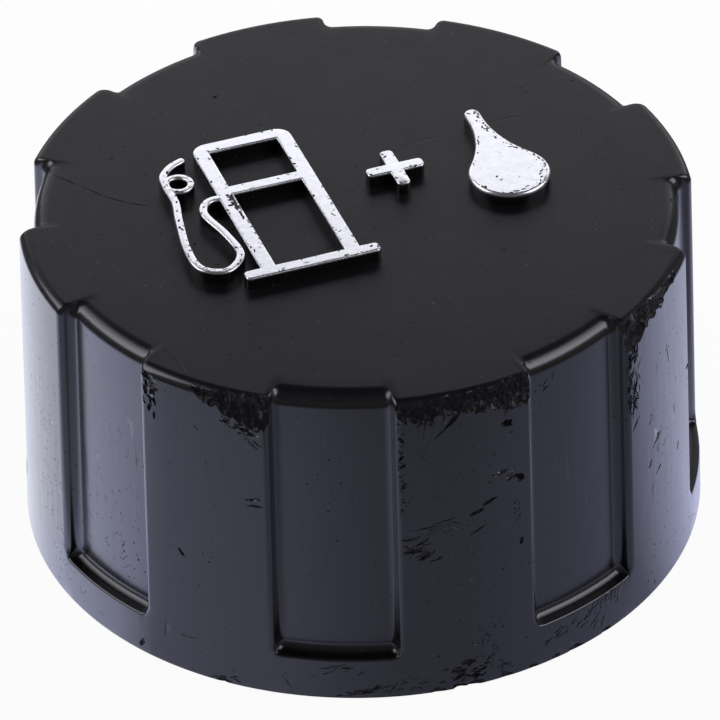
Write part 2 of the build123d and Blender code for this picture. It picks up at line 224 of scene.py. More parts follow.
# Camera, and the room round the cap
camera_lens = 389.76
camera_distance = 583.71
camera_elevation = 36.776
camera_azimuth = -107.28
camera_roll = -1.507
camera_target = (-0.0346, 0.0108, 12.040)
sensor_width = 36.0
floor_size = 6.0
floor_gap = 0.02
# Between floor_near and floor_far the floor's painted reflection tones fade to a dim grey
floor_near = 58.0
floor_far = 90.0
# Painted reflection: tones that the floor shows only to reflections, not the white that the camera sees, by the
# angle about a point in front of the axis: angle, tone, blueness
painted_reflection_middle = (-4.8, -15.3)
painted_reflection_tones = [
    (-180, 0.42, 1.42), (-165, 0.39, 1.42), (-141, 0.36, 1.42), (-118, 0.26, 1.45), (-95, 0.2, 1.45),
    (-70, 0.19, 1.45), (-50, 0.22, 1.5), (-39, 0.235, 1.5), (-28, 0.245, 1.5), (-13, 0.3, 1.5), (-4, 0.58, 1.5),
    (8, 0.74, 1.45), (24, 0.66, 1.4), (38, 0.24, 1.4), (60, 0.2, 1.4), (72, 0.5, 1.25), (84, 1.0, 1.2),
    (138, 1.0, 1.2), (150, 0.97, 1.4), (167, 0.95, 1.45), (177, 0.45, 1.42), (180, 0.42, 1.42),
]
# softbox: azimuth, elevation, width, height, distance and brightness
softboxes = {
    "far_box": (72.7, 30.0, 240.0, 110.0, 150.0, 1.1),
    "left_box": (158.0, 36.0, 420.0, 300.0, 460.0, 2.0),
    "right_box": (-26.0, 39.0, 420.0, 300.0, 460.0, 2.0),
}


def rad(degrees):
    return math.radians(degrees)


def mixed(a, b, share):
    return a + (b - a) * share


def polar(radius, angle, height=0.0):
    return Vector((radius * math.cos(rad(angle)), radius * math.sin(rad(angle)), height))


def wall_radius(height):
    return rim_radius - draft * height


# ---------------------------------------------------------------- shader helpers


class Signal:
    """A node's output socket, on which sums are written as in Python."""

    def __init__(self, graph, socket):
        self.graph = graph
        self.socket = socket

    def maths(self, operation, *values):
        return self.graph.node("ShaderNodeMath", {"operation": operation}, dict(enumerate(values)))

    def __add__(self, other):
        return self.maths("ADD", self, other)

    def __radd__(self, other):
        return self.maths("ADD", other, self)

    def __sub__(self, other):
        return self.maths("SUBTRACT", self, other)

    def __rsub__(self, other):
        return self.maths("SUBTRACT", other, self)

    def __mul__(self, other):
        return self.maths("MULTIPLY", self, other)

    def __rmul__(self, other):
        return self.maths("MULTIPLY", other, self)

    def __pow__(self, other):
        return self.maths("POWER", self, other)


class Graph:
    """A material's or the world's node tree."""

    def __init__(self, tree):
        self.tree = tree
        tree.nodes.clear()

    def node(self, kind, settings=None, inputs=None, output=0):
        """Add a node, make its settings, then give its sockets values or links."""
        made = self.tree.nodes.new(kind)
        for name, value in (settings or {}).items():
            if name == "stops":
                self.set_stops(made.color_ramp, value)
            else:
                setattr(made, name, value)
        for name, value in (inputs or {}).items():
            if isinstance(value, Signal):
                self.tree.links.new(value.socket, made.inputs[name])
            else:
                made.inputs[name].default_value = value
        return Signal(self, made.outputs[output]) if made.outputs else made

    @staticmethod
    def set_stops(ramp, stops):
        while len(ramp.elements) < len(stops):
            ramp.elements.new(0.5)
        for element, (position, colour) in zip(ramp.elements, stops):
            element.position = position
            element.color = colour

    def object_position(self):
        return self.node("ShaderNodeTexCoord", output="Object")

    def step(self, value, low, high):
        """0 below low, 1 above high and smooth between them."""
        return self.node("ShaderNodeMapRange", {"interpolation_type": "SMOOTHSTEP"},
                         {"Value": value, "From Min": low, "From Max": high})

    def grain(self, position, scale, detail=3.0, roughness=0.5, stretch=None, turn=None):
        """Noise in lumps about 1/scale metres across, which may be stretched and turned."""
        if stretch:
            position = self.node("ShaderNodeMapping", None,
                                 {"Vector": position, "Rotation": turn or (0, 0, 0), "Scale": stretch})
        return self.node("ShaderNodeTexNoise", None,
                         {"Vector": position, "Scale": scale, "Detail": detail, "Roughness": roughness})

    def blend(self, share, a, b):
        """A colour between a and b."""
        return self.node("ShaderNodeMix", {"data_type": "RGBA"}, {0: share, 6: a, 7: b}, output=2)

    def bump(self, height, distance, strength=1.0, normal=None):
        inputs = {"Height": height, "Distance": distance, "Strength": strength}
        if normal:
            inputs["Normal"] = normal
        return self.node("ShaderNodeBump", None, inputs)

    def surface(self, shader):
        self.node("ShaderNodeOutputMaterial", None, {"Surface": shader})


def material(name):
    made = bpy.data.materials.new(name)
    made.use_nodes = True
    return made, Graph(made.node_tree)


def grey(value, blue=1.0):
    return (value, value, value * blue, 1.0)


def moulded_black(name, base=0.005):
    """Black polypropylene: glossy walls, a duller top, dull specks, hair scratches and a trace of dust."""
    made, g = material(name)
    position = g.object_position()
    height = g.node("ShaderNodeSeparateXYZ", None, {0: position}, output=2)
    on_top = g.step(height, 26.52 * MM, 26.6 * MM)
    on_sign = g.step(height, 26.62 * MM, 26.7 * MM)
    lumps = g.grain(position, 220.0, 4.0, 0.6)
    soiled = g.step(g.grain(position, 130.0), 0.42, 0.6)
    specks = g.step(g.grain(position, 2600.0, 2.0), 0.69, 0.73) * soiled
    dust = g.step(g.grain(position, 3300.0, 1.0), 0.765, 0.785)
    hairs = g.step(g.grain(position, 90.0, 2.0, 0.5, (1, 13, 1), (0.3, 0.2, 0.7)), 0.725, 0.74)
    cross_hairs = g.step(g.grain(position, 110.0, 2.0, 0.5, (11, 1, 2), (0.1, 0.4, -0.5)), 0.725, 0.74)
    scratches = hairs + cross_hairs
    fine = g.grain(position, 5200.0, 2.0)
    drawn = g.grain(position, 900.0, 3.0, 0.6, (1, 1, 0.03))
    roughness = 0.2 + on_top * 0.16 + (lumps - 0.5) * 0.12 + specks * 0.35 + scratches * 0.1
    roughness = roughness + (drawn - 0.5) * 0.1 - on_sign * 0.14
    colour = g.blend(dust * 0.7, grey(base, 1.15), grey(0.1))
    colour = g.blend(scratches * 0.16, colour, grey(0.06))
    normal = g.bump(fine, 0.004 * MM, 0.35)
    normal = g.bump(drawn, 0.012 * MM, 0.35, normal)
    normal = g.bump(lumps, 0.05 * MM, 0.25, normal)
    normal = g.bump(specks * -1.0 - scratches * 0.2, 0.05 * MM, 0.8, normal)
    facing = g.node("ShaderNodeTexCoord", output=1)
    level = g.node("ShaderNodeMath", {"operation": "ABSOLUTE"},
                   {0: g.node("ShaderNodeSeparateXYZ", None, {0: facing}, output=2)})
    low = 1.0 - g.step(height, 2.6 * MM, 3.6 * MM)
    off_wall = g.step(level, 0.1, 0.45) * low + g.step(level, 0.6, 0.98) * (1.0 - low)
    roughness = roughness + g.step(level, 0.05, 0.4) * (1.0 - on_top) * 0.14
    coat = g.node("ShaderNodeMath", {"operation": "MAXIMUM"}, {0: 1.0 - off_wall - specks * 0.9, 1: 0.0})
    g.surface(g.node("ShaderNodeBsdfPrincipled", None,
                     {"Base Color": colour, "Roughness": roughness, "IOR": 1.33, "Normal": normal,
                      "Coat Weight": coat, "Coat Roughness": 0.22, "Coat IOR": 1.8}))
    return made


def torn_plastic(name):
    """The rough faces of chips and gouges."""
    made, g = material(name)
    position = g.object_position()
    tears = g.grain(position, 1700.0, 5.0, 0.7, (1, 1, 0.5))
    coarse = g.grain(position, 520.0, 3.0, 0.6)
    pale = g.step(tears, 0.56, 0.70)
    colour = g.blend(pale, grey(0.004, 1.1), grey(0.10, 1.15))
    normal = g.bump(coarse, 0.2 * MM, 0.8)
    normal = g.bump(tears, 0.12 * MM, 1.0, normal)
    g.surface(g.node("ShaderNodeBsdfPrincipled", None,
                     {"Base Color": colour, "Roughness": 0.3 + coarse * 0.3, "IOR": 1.45, "Normal": normal}))
    return made


def stamped_foil(name):
    """Silver foil pressed on hot: bright, slightly uneven, with pin holes that show the black below."""
    made, g = material(name)
    position = g.object_position()
    waves = g.grain(position, 420.0, 3.0, 0.55)
    crinkle = g.grain(position, 1700.0, 3.0, 0.6)
    pinholes = g.step(g.grain(position, 2400.0, 2.0, 0.6), 0.74, 0.77)
    worn = g.step(g.grain(position, 900.0, 4.0, 0.7), 0.70, 0.76)
    loss = g.node("ShaderNodeMath", {"operation": "MAXIMUM"}, {0: pinholes, 1: worn * 0.7})
    colour = g.blend(waves, (0.96, 0.97, 1.0, 1.0), (1.0, 1.0, 1.0, 1.0))
    colour = g.blend(loss, colour, grey(0.02))
    normal = g.bump(waves, 0.06 * MM, 0.35)
    normal = g.bump(crinkle - loss * 0.5, 0.02 * MM, 0.5, normal)
    g.surface(g.node("ShaderNodeBsdfPrincipled", None,
                     {"Base Color": colour, "Metallic": 1.0 - loss * 0.95, "Roughness": 0.2 + crinkle * 0.16,
                      "IOR": 1.5, "Normal": normal}))
    return made


def nitrile_rubber(name):
    made, g = material(name)
    position = g.object_position()
    bloom = g.grain(position, 160.0, 4.0, 0.6)
    fine = g.grain(position, 3000.0, 2.0)
    colour = g.blend(bloom, grey(0.012), grey(0.03))
    normal = g.bump(bloom, 0.06 * MM, 0.3)
    normal = g.bump(fine, 0.015 * MM, 0.4, normal)
    g.surface(g.node("ShaderNodeBsdfPrincipled", None,
                     {"Base Color": colour, "Roughness": 0.55 + bloom * 0.25, "Normal": normal}))
    return made


def natural_acetal(name):
    made, g = material(name)
    position = g.object_position()
    cloud = g.grain(position, 120.0, 4.0, 0.6)
    stain = g.step(g.grain(position, 260.0, 4.0, 0.65), 0.52, 0.72)
    fine = g.grain(position, 2600.0, 2.0)
    colour = g.blend(cloud, (0.72, 0.70, 0.63, 1.0), (0.84, 0.82, 0.76, 1.0))
    colour = g.blend(stain * 0.35, colour, (0.52, 0.42, 0.25, 1.0))
    normal = g.bump(fine, 0.01 * MM, 0.4)
    g.surface(g.node("ShaderNodeBsdfPrincipled", None,
                     {"Base Color": colour, "Roughness": 0.36 + cloud * 0.14, "Normal": normal}))
    return made


def bright_wire(name):
    made, g = material(name)
    position = g.object_position()
    drawn = g.grain(position, 1500.0, 3.0, 0.6, (1, 1, 0.2))
    colour = g.blend(drawn, grey(0.52, 1.02), grey(0.68, 1.02))
    normal = g.bump(drawn, 0.008 * MM, 0.4)
    g.surface(g.node("ShaderNodeBsdfPrincipled", None,
                     {"Base Color": colour, "Metallic": 1.0, "Roughness": 0.22 + drawn * 0.16, "Normal": normal}))
    return made


def open_cell_foam(name):
    made, g = material(name)
    position = g.object_position()
    cells = g.node("ShaderNodeTexVoronoi", {"feature": "F1"}, {"Vector": position, "Scale": 1900.0})
    lumps = g.grain(position, 300.0, 3.0)
    strut_height_and_pore_shade = g.step(cells, 0.25, 0.6)
    # Painted shade: the middle of each pore is near black and the struts grey, standing for the shade inside the
    # pores; the same mask also lowers the pores in the bump.
    colour = g.blend(strut_height_and_pore_shade, grey(0.03), grey(0.15, 1.05))
    normal = g.bump(strut_height_and_pore_shade, 0.25 * MM, 0.9)
    g.surface(g.node("ShaderNodeBsdfPrincipled", None,
                     {"Base Color": colour, "Roughness": 0.8 + lumps * 0.15, "Normal": normal}))
    return made


black = moulded_black("black_moulded_plastic")
torn = torn_plastic("torn_black_plastic")
foil = stamped_foil("silver_stamped_foil")
rubber = nitrile_rubber("nitrile_rubber")
acetal = natural_acetal("natural_acetal")
wire = bright_wire("spring_wire")
foam = open_cell_foam("grey_foam")


# ---------------------------------------------------------------- mesh helpers


def as_object(bm, name, materials):
    mesh = bpy.data.meshes.new(name)
    bm.to_mesh(mesh)
    bm.free()
    made = bpy.data.objects.new(name, mesh)
    bpy.context.scene.collection.objects.link(made)
    for finish in materials:
        mesh.materials.append(finish)
    return made


def combined(base, tool, operation, materials=(black, torn)):
    """The union or difference of two closed meshes. It stops the script if the result isn't closed."""
    base_object = as_object(base, "boolean_base", materials)
    tool_object = as_object(tool, "boolean_tool", materials)
    modifier = base_object.modifiers.new("combine", "BOOLEAN")
    modifier.object = tool_object
    modifier.operation = operation
    modifier.solver = "MANIFOLD"
    graph = bpy.context.evaluated_depsgraph_get()
    mesh = bpy.data.meshes.new_from_object(base_object.evaluated_get(graph))
    result = bmesh.new()
    result.from_mesh(mesh)
    for used in (base_object, tool_object):
        old = used.data
        bpy.data.objects.remove(used)
        bpy.data.meshes.remove(old)
    bpy.data.meshes.remove(mesh)
    if not result.faces or any(len(edge.link_faces) != 2 for edge in result.edges):
        raise RuntimeError("a " + operation + " left an empty or open mesh")
    return result


def closed_up(bm, distance=1e-4):
    bmesh.ops.remove_doubles(bm, verts=bm.verts, dist=distance)
    bmesh.ops.recalc_face_normals(bm, faces=bm.faces)
    return bm


def finished(bm, name, materials, body, replaced, sharp=32.0):
    """Scale a mesh to metres, mark its sharp edges and make it a piece that stands for CAD nodes."""
    bmesh.ops.scale(bm, vec=(MM, MM, MM), verts=bm.verts)
    for face in bm.faces:
        face.smooth = True
    for edge in bm.edges:
        edge.smooth = edge.calc_face_angle(0.0) < rad(sharp)
    piece = as_object(bm, name, materials)
    weighted = piece.modifiers.new("even_normals", "WEIGHTED_NORMAL")
    weighted.keep_sharp = True
    weighted.weight = 80
    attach(piece, body)
    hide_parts(*replaced)
    return piece


def turned(points, steps=180):
    """Spin a closed outline of (radius, height) points about the axis."""
    bm = bmesh.new()
    corners = [bm.verts.new((radius, 0, height)) for radius, height in points]
    edges = [bm.edges.new((a, b)) for a, b in zip(corners, corners[1:] + corners[:1])]
    bmesh.ops.spin(bm, geom=corners + edges, cent=(0, 0, 0), axis=(0, 0, 1), dvec=(0, 0, 0),
                   angle=rad(360), steps=steps, use_merge=True)
    return closed_up(bm)


def arc(centre, radius, start, end, steps):
    """Points of (radius, height) on a round stretch of an outline."""
    turns = [rad(mixed(start, end, i / steps)) for i in range(steps + 1)]
    return [(centre[0] + radius * math.cos(a), centre[1] + radius * math.sin(a)) for a in turns]


# ---------------------------------------------------------------- grip body


def lobe_half_angle():
    return math.degrees(math.asin((lobe_width / 2 + lobe_side_setback) / grip_radius))


def lobe_side(segments=8):
    """A lobe's side as (angle past its end, share of the window's depth) along its two rounds."""
    corner = grip_radius - lobe_corner_round
    root = grip_radius - window_depth + lobe_root_round
    reach = lobe_corner_round + lobe_root_round
    turn = math.acos((corner**2 + root**2 - reach**2) / (2 * corner * root))
    corner_middle = Vector((corner, 0))
    root_middle = Vector((root * math.cos(turn), root * math.sin(turn)))
    lean = math.atan2(*reversed(root_middle - corner_middle))
    spots = []
    for i in range(segments):
        a = mixed(0, lean, i / segments)
        spots.append(corner_middle + Vector((math.cos(a), math.sin(a))) * lobe_corner_round)
    for i in range(segments + 1):
        a = mixed(lean, turn, i / segments)
        spots.append(root_middle - Vector((math.cos(a), math.sin(a))) * lobe_root_round)
    return [(math.degrees(math.atan2(p.y, p.x)), (grip_radius - p.length) / window_depth) for p in spots]


def columns():
    """Columns across one lobe and the window after it: angle, and share of the window's depth."""
    half = lobe_half_angle()
    pitch = 360 / lobe_count
    side = lobe_side()
    first = [(mixed(0, half, i / 5), 0.0) for i in range(5)] + [(half + a, share) for a, share in side]
    panel_start = first[-1][0]
    panel = [(mixed(panel_start, pitch / 2, i / 4), 1.0) for i in range(1, 4)]
    rising = first + panel
    falling = [(pitch - a, share) for a, share in reversed(rising[1:])]
    return rising + [(pitch / 2, 1.0)] + falling


def outer_rows():
    """Rows of the skin from the top's middle to the rim: (radius, height) on a lobe and in a window."""
    panel_foot = wall_radius(ledge_height) - window_depth
    panel_top = grip_radius - window_depth
    corner_height = ledge_height + window_corner_lift
    rows = [((r, cap_height), (r, cap_height)) for r in (0.0, 7.0, 14.0, 19.0, 21.5)]
    lobe_edge = arc((grip_radius - lobe_edge_round, cap_height - lobe_edge_round), lobe_edge_round, 90, 1, 8)
    lip = arc((panel_top - window_lip_round, cap_height - window_lip_round), window_lip_round, 90, 1, 8)
    rows += list(zip(lobe_edge, lip))
    lobe_top = cap_height - lobe_edge_round
    lip_bottom = cap_height - window_lip_round
    cove_top = ledge_height + ledge_cove
    for share in (0.25, 0.5, 0.75):
        lobe_height = mixed(lobe_top, corner_height + 0.6, share)
        window_height = mixed(lip_bottom, cove_top, share)
        window_radius = mixed(panel_top, panel_foot, share)
        rows.append(((wall_radius(lobe_height), lobe_height), (window_radius, window_height)))
    cove = arc((panel_foot + ledge_cove, cove_top), ledge_cove, 180, 270, 8)
    for i, point in enumerate(cove):
        lobe_height = corner_height + 0.5 * (1 - i / 8)
        rows.append(((wall_radius(lobe_height), lobe_height), point))
    edge_radius = wall_radius(ledge_height)
    edge_middle = (edge_radius - ledge_edge_round, ledge_height - ledge_edge_round)
    for i, point in enumerate(arc(edge_middle, ledge_edge_round, 90, 1, 4)):
        lobe_height = corner_height - 0.12 * (i + 1)
        rows.append(((wall_radius(lobe_height), lobe_height), point))
    for height in (2.6, 1.4):
        rows.append(((wall_radius(height), height),) * 2)
    rim = arc((rim_radius - rim_round, rim_round), rim_round, 0, -90, 5)
    return rows + [(point, point) for point in rim]


def inner_rows():
    """Rows from the rim's face through the mouth, bore, plug wall and socket to the middle."""
    groove = socket_radius + snap_depth
    return [
        (22.45, 0.0), (mouth_radius, 0.15), (mouth_radius, mouth_depth),
        (thread_radius, mouth_depth + mouth_radius - thread_radius), (thread_radius, 8.0),
        (thread_radius, 14.0), (thread_radius, underside), (plug_radius, underside),
        (plug_radius, plug_end + 0.1), (plug_radius - 0.1, plug_end), (socket_radius + 0.1, plug_end),
        (socket_radius, plug_end + 0.1), (socket_radius, snap_low), (groove, snap_low + snap_depth),
        (groove, snap_high - snap_depth / 2), (socket_radius, snap_high), (socket_radius, deck_top),
        (shoulder_radius, deck_top), (shoulder_radius, underside), (0.0, underside),
    ]


def grip_body():
    """The skin and the inside, spun as one profile, then drawn in at the windows column by column."""
    rows = outer_rows() + [(point, point) for point in inner_rows()]
    table = columns()
    steps = lobe_count * len(table)
    bm = bmesh.new()
    row_layer = bm.verts.layers.int.new("row")
    profile = []
    for number, (lobe_point, window_point) in enumerate(rows):
        vertex = bm.verts.new((lobe_point[0], 0, lobe_point[1]))
        vertex[row_layer] = number
        profile.append(vertex)
    edges = [bm.edges.new(pair) for pair in zip(profile, profile[1:])]
    bmesh.ops.spin(bm, geom=profile + edges, cent=(0, 0, 0), axis=(0, 0, 1), dvec=(0, 0, 0),
                   angle=rad(360), steps=steps, use_merge=True)
    pitch = 360 / lobe_count
    for vertex in bm.verts:
        lobe_point, window_point = rows[vertex[row_layer]]
        if lobe_point[0] == 0.0:
            continue
        column = round(math.degrees(math.atan2(vertex.co.y, vertex.co.x)) / 360 * steps) % steps
        along, share = table[column % len(table)]
        radius = mixed(lobe_point[0], window_point[0], share)
        height = mixed(lobe_point[1], window_point[1], share)
        vertex.co = polar(radius, column // len(table) * pitch + along, height)
    return closed_up(bm)


def thread_ridge():
    bm = bmesh.new()
    root = thread_radius + 0.25
    crest = thread_radius - thread_depth
    section = [(root, -thread_root / 2), (crest, -thread_crest / 2), (crest, thread_crest / 2),
               (root, thread_root / 2)]
    corners = [bm.verts.new((radius, 0, thread_start + height)) for radius, height in section]
    face = bm.faces.new(corners)
    per_turn = 120
    bmesh.ops.spin(bm, geom=[face] + list(bm.edges) + corners, cent=(0, 0, 0), axis=(0, 0, 1),
                   dvec=(0, 0, thread_pitch / per_turn), angle=rad(360 * thread_turns),
                   steps=int(per_turn * thread_turns))
    return closed_up(bm)


def interpolated(points, at):
    """Values at an angle along a list whose first values are angles that rise or fall."""
    for a, b in zip(points, points[1:]):
        if min(a[0], b[0]) <= at <= max(a[0], b[0]):
            share = (at - a[0]) / (b[0] - a[0])
            return [mixed(x, y, share) for x, y in zip(a[1:], b[1:])]
    return list(points[-1][1:])


def edge_height(radius):
    """Height of the rounded top edge of a lobe at a radius."""
    across = max(radius - (grip_radius - lobe_edge_round), 0.0)
    rise = math.sqrt(max(lobe_edge_round**2 - across**2, 0.0))
    return cap_height - lobe_edge_round + rise


def edge_break(points, seed):
    """A cutter whose inner face is the rough surface of a break along a lobe's top edge."""
    bm = bmesh.new()
    columns = int(abs(points[-1][0] - points[0][0]) * 7)
    bmesh.ops.create_grid(bm, x_segments=columns, y_segments=26, size=0.5)
    drift = Vector((seed * 3.7, seed * 1.9, seed * 5.3))
    for vertex in bm.verts:
        angle = mixed(points[0][0], points[-1][0], vertex.co.x + 0.5)
        share = mixed(-0.5, 1.5, vertex.co.y + 0.5)
        low, high = interpolated(points, angle)
        lower = Vector((wall_radius(low), low))
        upper = Vector((high, edge_height(high)))
        spot = lower + (upper - lower) * share
        across = (upper - lower).normalized()
        inward = Vector((-across.y, across.x))
        if inward.x > 0:
            inward = -inward
        here = polar(spot.x, angle, spot.y)
        ragged = noise.noise(here * 1.1 + drift) * 0.2 + noise.noise(here * 3.4 + drift) * 0.13
        ragged += noise.noise(here * 8.0 + drift) * 0.06
        inside = max(0.0, 1 - (2 * share - 1) ** 2)
        spot = spot + inward * (break_depth * inside + ragged)
        vertex.co = polar(spot.x, angle, spot.y)
    pushed = bmesh.ops.extrude_face_region(bm, geom=list(bm.faces))["geom"]
    for vertex in (item for item in pushed if isinstance(item, bmesh.types.BMVert)):
        outward = Vector((vertex.co.x, vertex.co.y, 0)).normalized()
        vertex.co += outward * 2.4 + Vector((0, 0, 2.4))
    bmesh.ops.recalc_face_normals(bm, faces=bm.faces)
    return bm


def stone(length, width, depth, place, seed, detail=2, finish=1):
    """A rough lozenge that cuts a gouge or pit where its middle is put."""
    bm = bmesh.new()
    bmesh.ops.create_icosphere(bm, subdivisions=detail, radius=1.0)
    for vertex in bm.verts:
        drift = Vector((seed * 2.3, seed, 0))
        lump = 1 + 0.45 * noise.noise(vertex.co * 1.7 + drift) + 0.35 * noise.noise(vertex.co * 4.5 + drift)
        vertex.co = Vector((vertex.co.x * length / 2, vertex.co.y * width / 2, vertex.co.z * depth)) * lump
    bmesh.ops.transform(bm, matrix=place, verts=bm.verts)
    for face in bm.faces:
        face.material_index = finish
    return bm


def on_wall(radius, angle, height, tilt):
    """A place on the wall: local X along the mark and local Z out of the wall."""
    level = Matrix.Rotation(rad(angle), 4, "Z") @ Matrix.Translation((radius, 0, height))
    facing = Matrix(((0, 0, 1, 0), (1, 0, 0, 0), (0, 1, 0, 0), (0, 0, 0, 1)))
    return level @ facing @ Matrix.Rotation(rad(tilt), 4, "Z")


def on_top(x, y, height, turn):
    return Matrix.Translation((x, y, height)) @ Matrix.Rotation(rad(turn), 4, "Z")


def joined(parts):
    """Several meshes in one, without merging them."""
    whole = bmesh.new()
    for part in parts:
        mesh = bpy.data.meshes.new("part")
        part.to_mesh(mesh)
        part.free()
        whole.from_mesh(mesh)
        bpy.data.meshes.remove(mesh)
    return whole


def patch(draw, inset, height, angle, length, tilt, breadth, count, size, width, depth):
    """Small marks strewn over a patch of the wall."""
    stones = []
    for _ in range(count):
        along = draw.gauss(0, length * 0.26)
        across = draw.gauss(0, breadth * 0.3)
        up = along * math.sin(rad(tilt)) + across * math.cos(rad(tilt))
        sideways = along * math.cos(rad(tilt)) - across * math.sin(rad(tilt))
        spot_height = min(max(height + up, 0.05), 25.9)
        radius = wall_radius(spot_height) - inset
        spot_angle = angle + math.degrees(sideways / radius)
        scale = draw.uniform(0.45, 1.25)
        place = on_wall(radius + 0.01, spot_angle, spot_height, tilt + draw.gauss(0, 22))
        if length > 8:
            place = on_wall(radius + 0.01, spot_angle, spot_height, draw.uniform(0, 180))
        stones.append(stone(size * scale, width * draw.uniform(0.6, 1.3), depth * scale, place,
                            draw.uniform(0, 50), 1 + int(size > 0.45), int(depth * scale > torn_depth)))
    return stones


def wear_cutters():
    draw = random.Random(11)
    cutters = []
    for number, (height, angle, length, tilt, width, depth) in enumerate(wall_marks):
        place = on_wall(wall_radius(height), angle, height, tilt)
        cutters.append(stone(length, width, depth, place, number, 3, int(depth > torn_depth)))
    for row in wall_patches:
        cutters += patch(draw, 0.0, *row)
    for row in panel_patches:
        cutters += patch(draw, window_depth, *row)
    for number, (angle, length, depth) in enumerate(rim_chips):
        cutters.append(stone(length, 1.0, depth, on_wall(rim_radius, angle, 0.15, 0), 80 + number))
    for number, (x, y, length, turn, width, depth) in enumerate(top_marks):
        cutters.append(stone(length, width, depth, on_top(x, y, cap_height, turn), 90 + number))
    for number, (a, b) in enumerate(zip(crack, crack[1:])):
        run = Vector(b) - Vector(a)
        middle = (Vector(a) + Vector(b)) / 2
        turn = math.degrees(math.atan2(run.y, run.x))
        place = on_top(middle.x, middle.y, cap_height, turn)
        cutters.append(stone(run.length * 1.1, 0.1, 0.07, place, 100 + number))
    return cutters


def apart(stones):
    """The stones in groups, in each of which none touches another."""
    groups = []
    for item in stones:
        spots = [vertex.co for vertex in item.verts]
        middle = sum(spots, Vector()) / len(spots)
        reach = max((spot - middle).length for spot in spots)
        for group in groups:
            if all((middle - other).length > reach + far for other, far, _ in group):
                group.append((middle, reach, item))
                break
        else:
            groups.append([(middle, reach, item)])
    return [[item for *_, item in group] for group in groups]


def carved(base, stones, materials=(black, torn)):
    """Cut the stones out of a closed mesh, a group at a time."""
    groups = apart(stones)
    while groups:
        group = groups.pop()
        try:
            result = combined(base.copy(), joined([item.copy() for item in group]), "DIFFERENCE", materials)
        except RuntimeError:
            if len(group) > 1:
                groups += [group[::2], group[1::2]]
            continue
        base.free()
        base = result
    return base


# ---------------------------------------------------------------- raised sign


def rounded_flat(width, height, middle, corner):
    bm = bmesh.new()
    bmesh.ops.create_grid(bm, x_segments=1, y_segments=1, size=0.5)
    bmesh.ops.scale(bm, vec=(width, height, 1), verts=bm.verts)
    bmesh.ops.bevel(bm, geom=list(bm.verts), offset=corner, segments=5, profile=0.5, affect="VERTICES",
                    material=-1)
    bmesh.ops.translate(bm, vec=(middle[0], middle[1], 0), verts=bm.verts)
    return bm


def pump_frame():
    """The pump's box: a grid of strokes with two windows left out and rounded upper corners."""
    bm = bmesh.new()
    bmesh.ops.create_grid(bm, x_segments=3, y_segments=5, size=0.5)
    left = pump_middle - pump_width / 2
    right = pump_middle + pump_width / 2
    columns = [left, left + pump_stroke, right - pump_stroke, right]
    bottom = base_bar_bottom + crossbar_stroke / 2
    rows = [bottom, base_bar_bottom + crossbar_stroke, crossbar_middle - crossbar_stroke / 2,
            crossbar_middle + crossbar_stroke / 2, pump_top - pump_stroke, pump_top]
    for vertex in bm.verts:
        column = round((vertex.co.x + 0.5) * 3)
        row = round((vertex.co.y + 0.5) * 5)
        vertex.co = Vector((columns[column], rows[row], 0))
    windows = []
    for face in bm.faces:
        middle = face.calc_center_median()
        between_legs = columns[1] < middle.x < columns[2]
        in_window = rows[1] < middle.y < rows[2] or rows[3] < middle.y < rows[4]
        if between_legs and in_window:
            windows.append(face)
    bmesh.ops.delete(bm, geom=windows, context="FACES_ONLY")
    corners = [v for v in bm.verts if v.co.y > pump_top - 0.01 and len(v.link_edges) == 2]
    bmesh.ops.bevel(bm, geom=corners, offset=pump_corner_round, segments=7, profile=0.5, affect="VERTICES",
                    material=-1)
    return bm


def smooth_route(points, per_span=8):
    """A smooth line through the points."""
    ends = [Vector(points[0]) * 2 - Vector(points[1])] + [Vector(p) for p in points]
    ends.append(Vector(points[-1]) * 2 - Vector(points[-2]))
    line = []
    for a, b, c, d in zip(ends, ends[1:], ends[2:], ends[3:]):
        for i in range(per_span):
            t = i / per_span
            line.append(0.5 * (2 * b + (c - a) * t + (2 * a - 5 * b + 4 * c - d) * t**2
                               + (3 * b - a - 3 * c + d) * t**3))
    return line + [Vector(points[-1])]


def hose_ribbon():
    """A flat ribbon extruded point by point along the hose's middle line."""
    line = smooth_route(hose_route)
    bm = bmesh.new()
    ends = None
    for number, spot in enumerate(line):
        before = line[max(number - 1, 0)]
        after = line[min(number + 1, len(line) - 1)]
        along = (after - before).normalized()
        across = Vector((-along.y, along.x)) * hose_stroke / 2
        sides = (spot + across, spot - across)
        if ends is None:
            ends = [bm.verts.new((side.x, side.y, 0)) for side in sides]
            edge = bm.edges.new(ends)
            continue
        made = bmesh.ops.extrude_edge_only(bm, edges=[edge])["geom"]
        fresh = [item for item in made if isinstance(item, bmesh.types.BMVert)]
        edge = next(item for item in made if isinstance(item, bmesh.types.BMEdge)
                    and all(vertex in fresh for vertex in item.verts))
        ends = [next(v for v in fresh if (v.co - end.co).length < 1e-6) for end in ends]
        for vertex, side in zip(ends, sides):
            vertex.co = (side.x, side.y, 0)
    return bm


def disc(middle, radius, segments=24):
    bm = bmesh.new()
    bmesh.ops.create_circle(bm, cap_ends=True, radius=radius, segments=segments)
    bmesh.ops.translate(bm, vec=(middle[0], middle[1], 0), verts=bm.verts)
    return bm


def nozzle_ring():
    bm = bmesh.new()
    ends = [bm.verts.new((radius, 0, 0)) for radius in (nozzle_ring_bore, nozzle_ring_radius)]
    edge = bm.edges.new(ends)
    bmesh.ops.spin(bm, geom=ends + [edge], cent=(0, 0, 0), axis=(0, 0, 1), dvec=(0, 0, 0),
                   angle=rad(360), steps=48, use_merge=True)
    bmesh.ops.translate(bm, vec=(nozzle_middle[0], nozzle_middle[1], 0), verts=bm.verts)
    return bm


